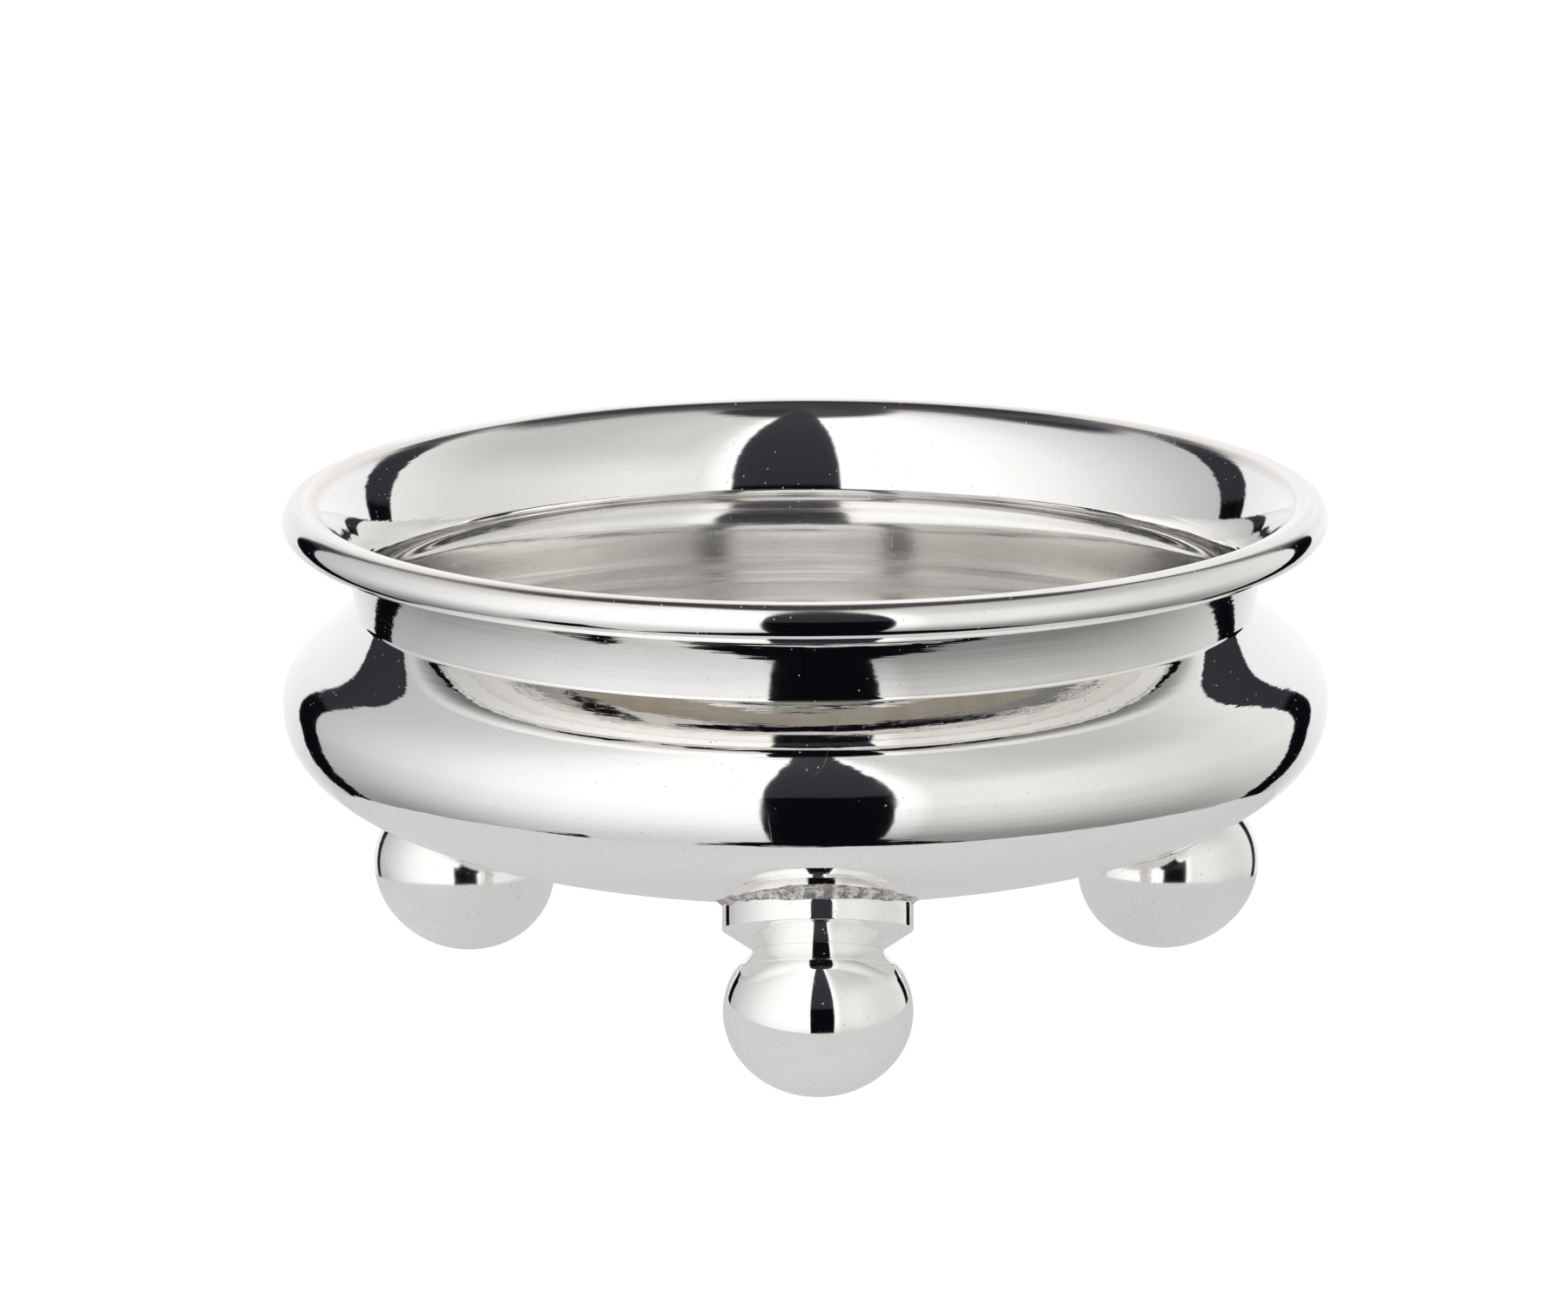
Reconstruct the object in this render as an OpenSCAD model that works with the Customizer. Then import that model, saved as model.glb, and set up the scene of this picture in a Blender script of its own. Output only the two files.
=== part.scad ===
// Open salt cellar: a spun silver bowl with a drawn-in neck and a rolled lip, on three ball feet.
// Z is up. The origin lies on the table, under the middle of the bowl. Lengths are in millimetres.
// Heights of the bowl are taken from the middle of its underside, and the feet lift it off the table.

/* [Bowl] */
// Widest diameter of the belly
belly_d = 80; // [76:0.5:86]
// Height of the belly's widest line above the underside
belly_rise = 12.28; // [11:0.02:13.5]
// Fullness of the underside, where 2 is an ellipse and more is squarer
base_fullness = 2.42; // [2.1:0.02:2.8]
// Reach of the belly's upright curve above its widest line
belly_round = 3.16; // [2.4:0.02:4]
// Thickness of the silver sheet
wall = 0.9; // [0.6:0.05:1.1]

/* [Neck] */
// Outside diameter of the neck at its narrowest line
neck_d = 68.9; // [66:0.1:72]
// Height of that narrowest line above the underside
neck_rise = 19.5; // [18.5:0.1:20.5]
// Reach of the shoulder's curve where it leaves the neck
shoulder_reach = 2.3; // [1.5:0.1:3.5]
// Lean of the shoulder from upright where it leaves the neck
shoulder_lean = 42; // [25:1:55]
// Reach of the hollow curve from the neck up towards the lip
neck_reach = 3.4; // [2:0.1:4]
// Lean of the neck from upright at its narrowest line
neck_lean = 5; // [0:1:12]

/* [Rolled lip] */
// Diameter over the rolled lip
lip_d = 79.85; // [77:0.05:84]
// Height of the top of the lip above the underside
lip_rise = 27.8; // [26.5:0.05:30]
// Diameter of the rolled bead
bead_d = 2.98; // [2.8:0.02:3.6]
// Lean of the wall from upright where it runs into the bead
lip_flare = 44; // [35:1:55]
// Turn of the roll, from where the wall runs into it to its cut edge
roll_turn = 275; // [200:5:280]

/* [Feet] */
// Distance from the bowl's axis to the middle of each seat
seat_r = 28.9; // [26:0.1:31]
// Sideways offset of the ring of feet, as this hand-made one has
feet_shift = 0.85; // [0:0.05:1.5]
// Outward lean of each foot
foot_splay = 20.3; // [14:0.1:24]
// Depth to which the belly sinks into the dished top of a cap
seat_sink = 0.25; // [0.1:0.05:0.4]

/* [Foot cap] */
// Diameter of the flange
flange_d = 14.3; // [13:0.1:16]
// Thickness of the flange at its middle
flange_h = 2.2; // [1.8:0.1:3]
// Height of the cone under the flange
cone_h = 1.5; // [1:0.05:2.2]

/* [Collar] */
// Diameter of the neck where the collar meets the cone
collar_d = 9.7; // [9:0.1:10.6]
// Height of the collar
collar_h = 1.4; // [1.2:0.05:1.8]
// Depth of the collar's hollow side
collar_hollow = 0.12; // [0:0.02:0.25]

/* [Ball] */
// Diameter across the ball
ball_d = 14.2; // [13:0.1:15.5]
// Length of the ball along the foot's axis, if it were whole
ball_length = 12.76; // [12:0.02:14]
// Diameter of the flat under the collar
ball_top_d = 12.3; // [11.6:0.1:12.7]
// Depth of the small flat filed under each ball, so that the bowl stands level
filed_depth = 0.1; // [0.05:0.01:0.2]

/* [Solder] */
// Thickness of the solder where the cap lies closest to the belly
solder_film = 0.12; // [0.08:0.01:0.2]
// How far the fillet spreads past the flange by the time it meets the belly
fillet_spread = 0.7; // [0.3:0.05:1]
// Height over which the fillet spreads
fillet_h = 1.6; // [1.3:0.05:2]
// Distance that the fillet starts inside the flange's edge
fillet_inset = 0.15; // [0.05:0.05:0.3]

/* [Hidden] */
$fn = 96;

FOOT_NAMES = ["front", "right", "left"];
FOOT_TURNS = [-90, 30, 150];

silver = "gainsboro";
turned_silver = "silver";
dull_silver = "darkgray";

// Steps along each stretch of the bowl's outline and round the turned parts
underside_steps = 30;
shoulder_steps = 18;
neck_steps = 14;
bead_steps = 26;
ball_steps = 28;
hollow_steps = 6;

belly_r = belly_d / 2;
neck_r = neck_d / 2;
bead_r = bead_d / 2;
roll_hollow_r = bead_r - wall;
bead_centre = [lip_d / 2 - bead_r, lip_rise - bead_r];
flange_r = flange_d / 2;
collar_r = collar_d / 2;
ball_r = ball_d / 2;
ball_half = ball_length / 2;
ball_top_r = ball_top_d / 2;

// Polar point: a length along a direction measured from the radial axis
function polar(length, angle) = length * [cos(angle), sin(angle)];

// Point at t along the cubic curve of four control points
function bezier(p, t) =
    pow(1 - t, 3) * p[0] + 3 * pow(1 - t, 2) * t * p[1] + 3 * (1 - t) * t * t * p[2] + pow(t, 3) * p[3];

// The bowl's outer face, from the middle of the underside to the cut edge inside the roll
underside = [
    for (i = [0 : underside_steps])
        let (a = 90 * i / underside_steps)
            [belly_r * pow(sin(a), 2 / base_fullness), belly_rise * (1 - pow(cos(a), 2 / base_fullness))]
];
neck_point = [neck_r, neck_rise];
shoulder_curve = [
    [belly_r, belly_rise],
    [belly_r, belly_rise + belly_round],
    neck_point + polar(shoulder_reach, shoulder_lean - 90),
    neck_point
];
roll_start = bead_centre + polar(roll_hollow_r, 180 - lip_flare);
neck_curve = [
    neck_point,
    neck_point + polar(neck_reach, 90 - neck_lean),
    roll_start - polar(neck_reach, 90 - lip_flare),
    roll_start
];
outer_face = concat(
    underside,
    [for (i = [1 : shoulder_steps]) bezier(shoulder_curve, i / shoulder_steps)],
    [for (i = [1 : neck_steps]) bezier(neck_curve, i / neck_steps)],
    [for (i = [1 : bead_steps]) bead_centre + polar(roll_hollow_r, 180 - lip_flare - roll_turn * i / bead_steps)]
);

// Unit direction of an outline at point i, from its neighbours on both sides
function heading(points, i) =
    let (ahead = points[min(i + 1, len(points) - 1)], behind = points[max(i - 1, 0)])
        (ahead - behind) / norm(ahead - behind);

// The outline moved a distance to the left of its own direction of travel
function offset_left(points, distance) = [
    for (i = [0 : len(points) - 1])
        let (h = heading(points, i))
            [max(points[i].x - distance * h.y, 0), points[i].y + distance * h.x]
];

function reversed(points) = [for (i = [len(points) - 1 : -1 : 0]) points[i]];

inner_face = offset_left(outer_face, wall);

// Height and slope of the underside at a distance from the axis
function underside_share(r) = 1 - pow(r / belly_r, base_fullness);
function underside_height(r) = belly_rise * (1 - pow(underside_share(r), 1 / base_fullness));
function underside_slope(r) =
    belly_rise / belly_r * pow(r / belly_r, base_fullness - 1) * pow(underside_share(r), 1 / base_fullness - 1);

// A foot in its own frame: its axis is Z, its top leans towards the bowl and the ball's middle is its origin
seat_tilt = atan(underside_slope(seat_r));
ball_top = ball_half * sqrt(1 - pow(ball_top_r / ball_r, 2));
collar_top = ball_top + collar_h;
cone_top = collar_top + cone_h;
foot_length = cone_top + flange_h;

// The middle of the seat, then the middle of the ball, as radius and height above the underside
seat_point = [seat_r, underside_height(seat_r)] + polar(seat_sink, seat_tilt + 90);
ball_point = seat_point - polar(foot_length, foot_splay + 90);
ball_reach = norm([ball_half * cos(foot_splay), ball_r * sin(foot_splay)]);
stand_height = ball_reach - filed_depth - ball_point.y;

// Overrun of the cutting solids past what they cut
overrun = belly_d;

// Everything inside the bowl's outer face up to the belly, grown by a gap
module belly_solid(gap) {
    face = offset_left(underside, -gap);
    translate([0, 0, stand_height])
        rotate_extrude()
            polygon(concat(face, [[0, face[len(face) - 1].y]]));
}

// Puts a foot's own frame where the foot stands
module at_foot(turn) {
    translate([feet_shift, 0, 0])
        rotate([0, 0, turn])
            translate([ball_point.x, 0, ball_point.y + stand_height])
                rotate([0, -foot_splay, 0])
                    children();
}

// Everything below the plane of a foot's seat
module below_seat(turn) {
    translate([feet_shift, 0, 0])
        rotate([0, 0, turn])
            translate([seat_point.x, 0, seat_point.y + stand_height])
                rotate([0, -seat_tilt, 0])
                    translate([-overrun / 2, -overrun / 2, -overrun])
                        cube(overrun);
}

module bowl() {
    color(silver)
        translate([0, 0, stand_height])
            rotate_extrude()
                polygon(concat(outer_face, reversed(inner_face)));
}

module foot_cap(turn) {
    color(turned_silver)
        difference() {
            intersection() {
                at_foot(turn) {
                    translate([0, 0, collar_top])
                        cylinder(h = cone_h, r1 = collar_r, r2 = flange_r);
                    translate([0, 0, cone_top])
                        cylinder(h = 2 * flange_h, r = flange_r);
                }
                below_seat(turn);
            }
            belly_solid(solder_film);
        }
}

module foot_collar(turn) {
    side = [
        for (i = [0 : hollow_steps])
            let (t = i / hollow_steps)
                [ball_top_r + (collar_r - ball_top_r) * t - collar_hollow * sin(180 * t), ball_top + collar_h * t]
    ];
    color(turned_silver)
        at_foot(turn)
            rotate_extrude()
                polygon(concat([[0, ball_top]], side, [[0, collar_top]]));
}

module foot_ball(turn) {
    top_angle = asin(ball_top / ball_half);
    side = [
        for (i = [0 : ball_steps])
            let (a = -90 + (90 + top_angle) * i / ball_steps)
                [max(ball_r * cos(a), 0), ball_half * sin(a)]
    ];
    color(silver)
        intersection() {
            at_foot(turn)
                rotate_extrude()
                    polygon(concat(side, [[0, ball_top]]));
            translate([-overrun, -overrun, 0])
                cube(2 * overrun);
        }
}

module solder(turn) {
    fillet_r = flange_r - fillet_inset;
    color(dull_silver)
        difference() {
            at_foot(turn) {
                translate([0, 0, cone_top + flange_h / 2])
                    cylinder(h = flange_h / 2, r = fillet_r);
                translate([0, 0, foot_length])
                    cylinder(h = fillet_h, r1 = fillet_r, r2 = fillet_r + fillet_spread);
            }
            foot_cap(turn);
            belly_solid(0);
        }
}

bowl();
for (i = [0 : len(FOOT_NAMES) - 1]) {
    foot_cap(FOOT_TURNS[i]);
    foot_collar(FOOT_TURNS[i]);
    foot_ball(FOOT_TURNS[i]);
    solder(FOOT_TURNS[i]);
}
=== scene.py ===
"""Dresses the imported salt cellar: a spun silver bowl with a rolled lip, on three ball feet.

The bowl, the caps, the collars and the balls are spun again as smooth shells, because a mirror finish shows
every facet, and each solder seam becomes a lumpy ring. Lengths are worked out in millimetres, as the maker's
sizes are, and leave this file in metres. Z is up, and the origin lies on the table under the bowl.
"""
import logging
import math
from collections.abc import Sequence
from dataclasses import dataclass
from enum import Enum

import bmesh
import bpy
from mathutils import Matrix, Vector, noise


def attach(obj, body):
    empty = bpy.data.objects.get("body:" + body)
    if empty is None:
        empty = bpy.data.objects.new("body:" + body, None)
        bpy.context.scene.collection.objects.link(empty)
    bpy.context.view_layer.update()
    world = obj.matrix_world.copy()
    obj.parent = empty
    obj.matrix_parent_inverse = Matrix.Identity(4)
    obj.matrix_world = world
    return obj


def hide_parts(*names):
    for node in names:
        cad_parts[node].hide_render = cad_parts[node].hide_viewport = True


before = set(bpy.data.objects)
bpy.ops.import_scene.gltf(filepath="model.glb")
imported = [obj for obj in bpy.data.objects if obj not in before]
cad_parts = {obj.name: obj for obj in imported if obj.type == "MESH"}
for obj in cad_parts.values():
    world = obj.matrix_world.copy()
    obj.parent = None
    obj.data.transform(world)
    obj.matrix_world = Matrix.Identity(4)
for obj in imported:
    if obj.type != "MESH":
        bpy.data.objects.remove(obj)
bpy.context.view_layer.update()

MM = 0.001
BODY = "root"
LOG = logging.getLogger("salt_cellar")

# Distance of the point beyond an arc, as a share of the arc's own reach
ARC_SUPPORT = 0.6
# How far one part sinks into another where they are soldered, in millimetres
OVERLAP = 0.02
# The most steps of an outline that are spun at once, since long ones take far longer
SPIN_RUN = 40
# The attribute that holds a turned piece's own frame, in millimetres
TURNED_FRAME = "turned"
# How often the belly's height over a point is worked out, since each time comes nearer
HEIGHT_TRIES = 8
# How close two points lie that are one, in millimetres
SAME_POINT = 1e-5
# The colour sockets of a Mix node, which follow those for numbers and vectors
MIX_COLOURS = (6, 7)
MIX_RESULT = 2

Point = tuple[float, float]
Colour = tuple[float, float, float]
# Three settings of one pattern, or the weights of three patterns
Grain = tuple[float, float, float]

# The tints of the tent's cloth
COOL: Colour = (0.975, 0.975, 1.0)
PLAIN: Colour = (1.0, 1.0, 1.0)
WARM: Colour = (1.0, 1.0, 0.985)
# Azimuth, tint and brightness of the cloth round the object
CLOTH = (
    (-180, COOL, 1.05),
    (-147, COOL, 0.86),
    (-135, COOL, 0.53),
    (-118, COOL, 0.61),
    (-90, PLAIN, 0.78),
    (-72, PLAIN, 0.94),
    (-52, PLAIN, 1.05),
    (-10, PLAIN, 1.12),
    (19, PLAIN, 1.12),
    (24, PLAIN, 1.02),
    (28, WARM, 0.84),
    (50, WARM, 0.85),
    (80, WARM, 0.74),
    (105, WARM, 0.71),
    (130, WARM, 0.8),
    (147, COOL, 0.9),
    (180, COOL, 1.05),
)
# Azimuth, and the share of its brightness that the cloth has lost where it reaches the stand
LOSS = (
    (-180, 0.5),
    (-147, 0.7),
    (-120, 0.72),
    (-90, 0.5),
    (-55, 0.42),
    (-10, 0.42),
    (20, 0.7),
    (120, 0.76),
    (150, 0.7),
    (180, 0.5),
)
# Share of the way from straight down to straight up, and the colour of the dark room beyond the cloth there
GLOOM = (
    (0.0, (0.003, 0.003, 0.0045)),
    (0.57, (0.003, 0.003, 0.0045)),
    (0.585, (0.03, 0.029, 0.035)),
    (0.8, (0.036, 0.035, 0.042)),
    (1.0, (0.05, 0.048, 0.052)),
)


class Polish(Enum):
    """The record's material slots, one for each kind of surface."""

    BOWL = "bowl_silver"
    TURNED = "turned_silver"
    BALL = "ball_silver"
    SOLDER = "solder"


class Side(Enum):
    """Where a foot stands, seen from the front, with its turn about the bowl's axis in degrees."""

    FRONT = -90
    RIGHT = 30
    LEFT = 150

    @property
    def word(self) -> str:
        """The foot's name as the frame writes it."""
        return self.name.lower()


def polar(length: float, degrees: float) -> Vector:
    """A length along a direction, as radius and height."""
    return Vector((math.cos(math.radians(degrees)), math.sin(math.radians(degrees)))) * length


def bezier(ends: list[Vector], steps: int) -> list[Vector]:
    """Points along a cubic curve.

    Args:
        ends: The curve's four control points.
        steps: How many points follow the first control point.

    Returns:
        The points after the first, up to the last control point.
    """
    a, b, c, d = ends
    out = []
    for i in range(1, steps + 1):
        t = i / steps
        u = 1 - t
        out.append(a * u**3 + b * 3 * u * u * t + c * 3 * u * t * t + d * t**3)
    return out


def offset_left(points: list[Vector], distance: float) -> list[Vector]:
    """An outline moved to the left of its own direction of travel.

    Args:
        points: The outline as radius and height.
        distance: How far each point moves.

    Returns:
        The moved outline, kept at or outside the axis.
    """
    out = []
    for i, p in enumerate(points):
        way = (points[min(i + 1, len(points) - 1)] - points[max(i - 1, 0)]).normalized()
        out.append(Vector((max(p.x - distance * way.y, 0.0), p.y + distance * way.x)))
    return out


def round_corner(outline: list[Vector], index: int, radius: float, steps: int = 6) -> list[Vector]:
    """An outline with one of its corners turned into an arc.

    Args:
        outline: The outline as radius and height.
        index: Which point is the corner.
        radius: The arc's radius.
        steps: How many steps the arc has.

    Returns:
        The outline with the arc in the corner's place, and a point just before and after it to keep flats flat.
    """
    corner = outline[index]
    back = (outline[index - 1] - corner).normalized()
    ahead = (outline[index + 1] - corner).normalized()
    half = back.angle(ahead) / 2
    cut = radius / math.tan(half)
    centre = corner + (back + ahead).normalized() * (radius / math.sin(half))
    start, end = corner + back * cut, corner + ahead * cut
    arc = [start + back * cut * ARC_SUPPORT]
    for i in range(steps + 1):
        arc.append(centre + (start.lerp(end, i / steps) - centre).normalized() * radius)
    arc.append(end + ahead * cut * ARC_SUPPORT)
    reach = cut * (1 + 2 * ARC_SUPPORT)
    before, after = outline[:index], outline[index + 1:]
    while before and (before[-1] - corner).length < reach:
        before.pop()
    while after and (after[0] - corner).length < reach:
        after.pop(0)
    return before + arc + after


def spin_outline(stretches: list[list[Vector]], turns: int) -> bmesh.types.BMesh:
    """Spins an outline once round the Z axis.

    Args:
        stretches: The outline in parts that follow each other, each a list of radius and height. The faces of
            each part take their material by its place in the list.
        turns: How many steps make the full turn.

    Returns:
        A welded shell whose faces point outwards.
    """
    whole = bmesh.new()
    for material, points in enumerate(stretches):
        for start in range(0, len(points) - 1, SPIN_RUN):
            run = bmesh.new()
            verts = [run.verts.new((p.x, 0.0, p.y)) for p in points[start : start + SPIN_RUN + 1]]
            edges = [run.edges.new(pair) for pair in zip(verts, verts[1:])]
            bmesh.ops.spin(
                run,
                geom=verts + edges,
                cent=(0.0, 0.0, 0.0),
                axis=(0.0, 0.0, 1.0),
                angle=2 * math.pi,
                steps=turns,
                use_merge=True,
            )
            for face in run.faces:
                face.material_index = material
            spare = bpy.data.meshes.new("run")
            run.to_mesh(spare)
            run.free()
            whole.from_mesh(spare)
            bpy.data.meshes.remove(spare)
    bmesh.ops.remove_doubles(whole, verts=whole.verts[:], dist=SAME_POINT)
    bmesh.ops.recalc_face_normals(whole, faces=whole.faces[:])
    return whole


def finish_piece(
    bm: bmesh.types.BMesh, name: str, node: str, materials: list[bpy.types.Material]
) -> bpy.types.Object:
    """Makes a piece of a mesh in millimetres, and stands it in the frame.

    Args:
        bm: The finished shape, which is freed here.
        name: The piece's name.
        node: The solid that it stands for.
        materials: The finishes of its faces, by material index.

    Returns:
        The object, smooth shaded and riding on its body.
    """
    bmesh.ops.scale(bm, vec=(MM, MM, MM), verts=bm.verts[:])
    for face in bm.faces:
        face.smooth = True
    mesh = bpy.data.meshes.new(name)
    bm.to_mesh(mesh)
    bm.free()
    for material in materials:
        mesh.materials.append(material)
    piece = bpy.data.objects.new(name, mesh)
    bpy.context.scene.collection.objects.link(piece)
    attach(piece, BODY)
    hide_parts(node)
    LOG.info("%s: %d faces, stands for %s", name, len(mesh.polygons), node)
    return piece


@dataclass(frozen=True)
class Flare:
    """One face of the neck: how it leaves the crease and runs into the rolled lip.

    The sheet is a little uneven there, so the inside and the outside have each their own. Leans are in degrees from
    upright, and a reach is that of a curve's handle. The end of the face is given from the bead's middle, by
    meet_reach along meet_direction.
    """

    crease_rise: float
    neck_lean: float
    neck_reach: float
    meet_reach: float
    meet_direction: float
    lip_lean: float
    lip_reach: float
    crease_r: float


@dataclass
class Bowl:
    """The spun bowl: a flat-bottomed belly, a drawn-in neck and a hollow rolled lip.

    Heights are above the middle of the underside.
    """

    belly_d: float = 79.976
    belly_rise: float = 12.28
    base_fullness: float = 2.42
    belly_round: float = 3.16
    wall: float = 0.9
    neck_d: float = 68.9
    shoulder_reach: float = 4.2
    shoulder_lean: float = 42.0
    outside_flare: Flare = Flare(
        crease_rise=19.5,
        neck_lean=5.0,
        neck_reach=3.6,
        meet_reach=1.55,
        meet_direction=-176.0,
        lip_lean=42.0,
        lip_reach=1.2,
        crease_r=0.3,
    )
    inside_flare: Flare = Flare(
        crease_rise=20.45,
        neck_lean=5.0,
        neck_reach=4.0,
        meet_reach=0.65,
        meet_direction=126.0,
        lip_lean=54.0,
        lip_reach=0.6,
        crease_r=1.5,
    )
    lip_d: float = 79.85
    lip_rise: float = 27.796
    bead_d: float = 3.1
    joint_round: float = 0.25
    # Where the unpolished metal starts and ends, as shares of the cove's arc, running a little onto the bead
    groove: Point = (0.5, 1.06)
    stand_height: float = 11.1763

    underside_steps: int = 60
    shoulder_steps: int = 34
    neck_steps: int = 60
    bead_steps: int = 48
    crease_steps: int = 8
    joint_steps: int = 18
    joint_halvings: int = 24
    turns: int = 256

    @property
    def belly_r(self) -> float:
        """Radius at the widest line."""
        return self.belly_d / 2

    def underside(self) -> list[Vector]:
        """The outline from the middle of the underside to the widest line."""
        power = 2 / self.base_fullness
        out = []
        for i in range(self.underside_steps + 1):
            a = math.pi / 2 * i / self.underside_steps
            radius = self.belly_r * math.sin(a) ** power
            height = self.belly_rise * (1 - max(math.cos(a), 0.0) ** power)
            out.append(Vector((radius, height)))
        return out

    def underside_height(self, r: float) -> float:
        """Height of the underside at a distance from the axis."""
        share = 1 - (r / self.belly_r) ** self.base_fullness
        return self.belly_rise * (1 - share ** (1 / self.base_fullness))

    def underside_slope(self, r: float) -> float:
        """Rise over run of the underside at a distance from the axis."""
        n = self.base_fullness
        share = 1 - (r / self.belly_r) ** n
        return self.belly_rise / self.belly_r * (r / self.belly_r) ** (n - 1) * share ** (1 / n - 1)

    @property
    def bead_centre(self) -> Vector:
        """Radius and height of the rolled bead's middle."""
        return Vector(((self.lip_d - self.bead_d) / 2, self.lip_rise - self.bead_d / 2))

    def face(self, flare: Flare) -> list[Vector]:
        """The outline from the middle of the underside to where the sheet meets the bead.

        Args:
            flare: The neck's curve on the face that is wanted.

        Returns:
            Radius and height of each point, in millimetres.
        """
        neck = Vector((self.neck_d / 2, flare.crease_rise))
        belly = Vector((self.belly_r, self.belly_rise))
        meet = self.bead_centre + polar(flare.meet_reach, flare.meet_direction)
        outline = self.underside()
        outline += bezier(
            [
                belly,
                belly + Vector((0.0, self.belly_round)),
                neck + polar(self.shoulder_reach, self.shoulder_lean - 90),
                neck,
            ],
            self.shoulder_steps,
        )
        crease = len(outline) - 1
        outline += bezier(
            [
                neck,
                neck + polar(flare.neck_reach, 90 - flare.neck_lean),
                meet - polar(flare.lip_reach, 90 - flare.lip_lean),
                meet,
            ],
            self.neck_steps,
        )
        return round_corner(outline, crease, flare.crease_r, self.crease_steps)

    def cove(self, outer: list[Vector]) -> tuple[list[Vector], float]:
        """The small hollow arc that closes the roll on the neck, and touches both.

        Args:
            outer: The outside face, which is cut back here to just below the arc.

        Returns:
            The arc's points from the neck to the bead, and the direction on the bead where it ends, in degrees.
        """
        reach = self.bead_d / 2 + self.joint_round
        while True:
            end = outer.pop()
            way = (end - outer[-1]).normalized()
            right = Vector((way.y, -way.x)) * self.joint_round
            if (outer[-1] + right - self.bead_centre).length >= reach:
                break
        low, high = 0.0, 1.0
        for _ in range(self.joint_halvings):
            share = (low + high) / 2
            middle = outer[-1].lerp(end, share) + right
            if (middle - self.bead_centre).length >= reach:
                low = share
            else:
                high = share
        towards = self.bead_centre - middle
        first = math.degrees(math.atan2(-right.y, -right.x))
        final = math.degrees(math.atan2(towards.y, towards.x))
        arc = []
        for i in range(self.joint_steps + 1):
            arc.append(middle + polar(self.joint_round, first + (final - first) * i / self.joint_steps))
        return arc, final - 180

    def outline(self) -> tuple[list[Vector], int, int]:
        """The bowl's whole cut face.

        Returns:
            Its points from the middle of the underside round the bead to the middle of the well, and the places in
            that list where the groove under the bead starts and ends.
        """
        outer = self.face(self.outside_flare)
        inner = offset_left(self.face(self.inside_flare), self.wall)[::-1]
        cove, start = self.cove(outer)
        turn = self.inside_flare.meet_direction - start
        bead = []
        for i in range(1, self.bead_steps):
            bead.append(self.bead_centre + polar(self.bead_d / 2, start + turn * i / self.bead_steps))
        bend, edge = (len(outer) + round(self.joint_steps * share) for share in self.groove)
        return outer + cove + bead + inner, bend, edge

    def build(
        self, outside: bpy.types.Material, inside: bpy.types.Material, gap: bpy.types.Material
    ) -> bpy.types.Object:
        """Spins the bowl.

        Args:
            outside: The finish of the outside.
            inside: The finish of the inside and of the rolled lip.
            gap: The finish of the groove where the roll closes on the neck.

        Returns:
            The bowl as one closed shell.
        """
        outline, bend, edge = self.outline()
        lifted = [p + Vector((0.0, self.stand_height)) for p in outline]
        bm = spin_outline([lifted[: bend + 1], lifted[edge:], lifted[bend : edge + 1]], self.turns)
        return finish_piece(bm, "silver_bowl", "bowl", [outside, inside, gap])


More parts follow.
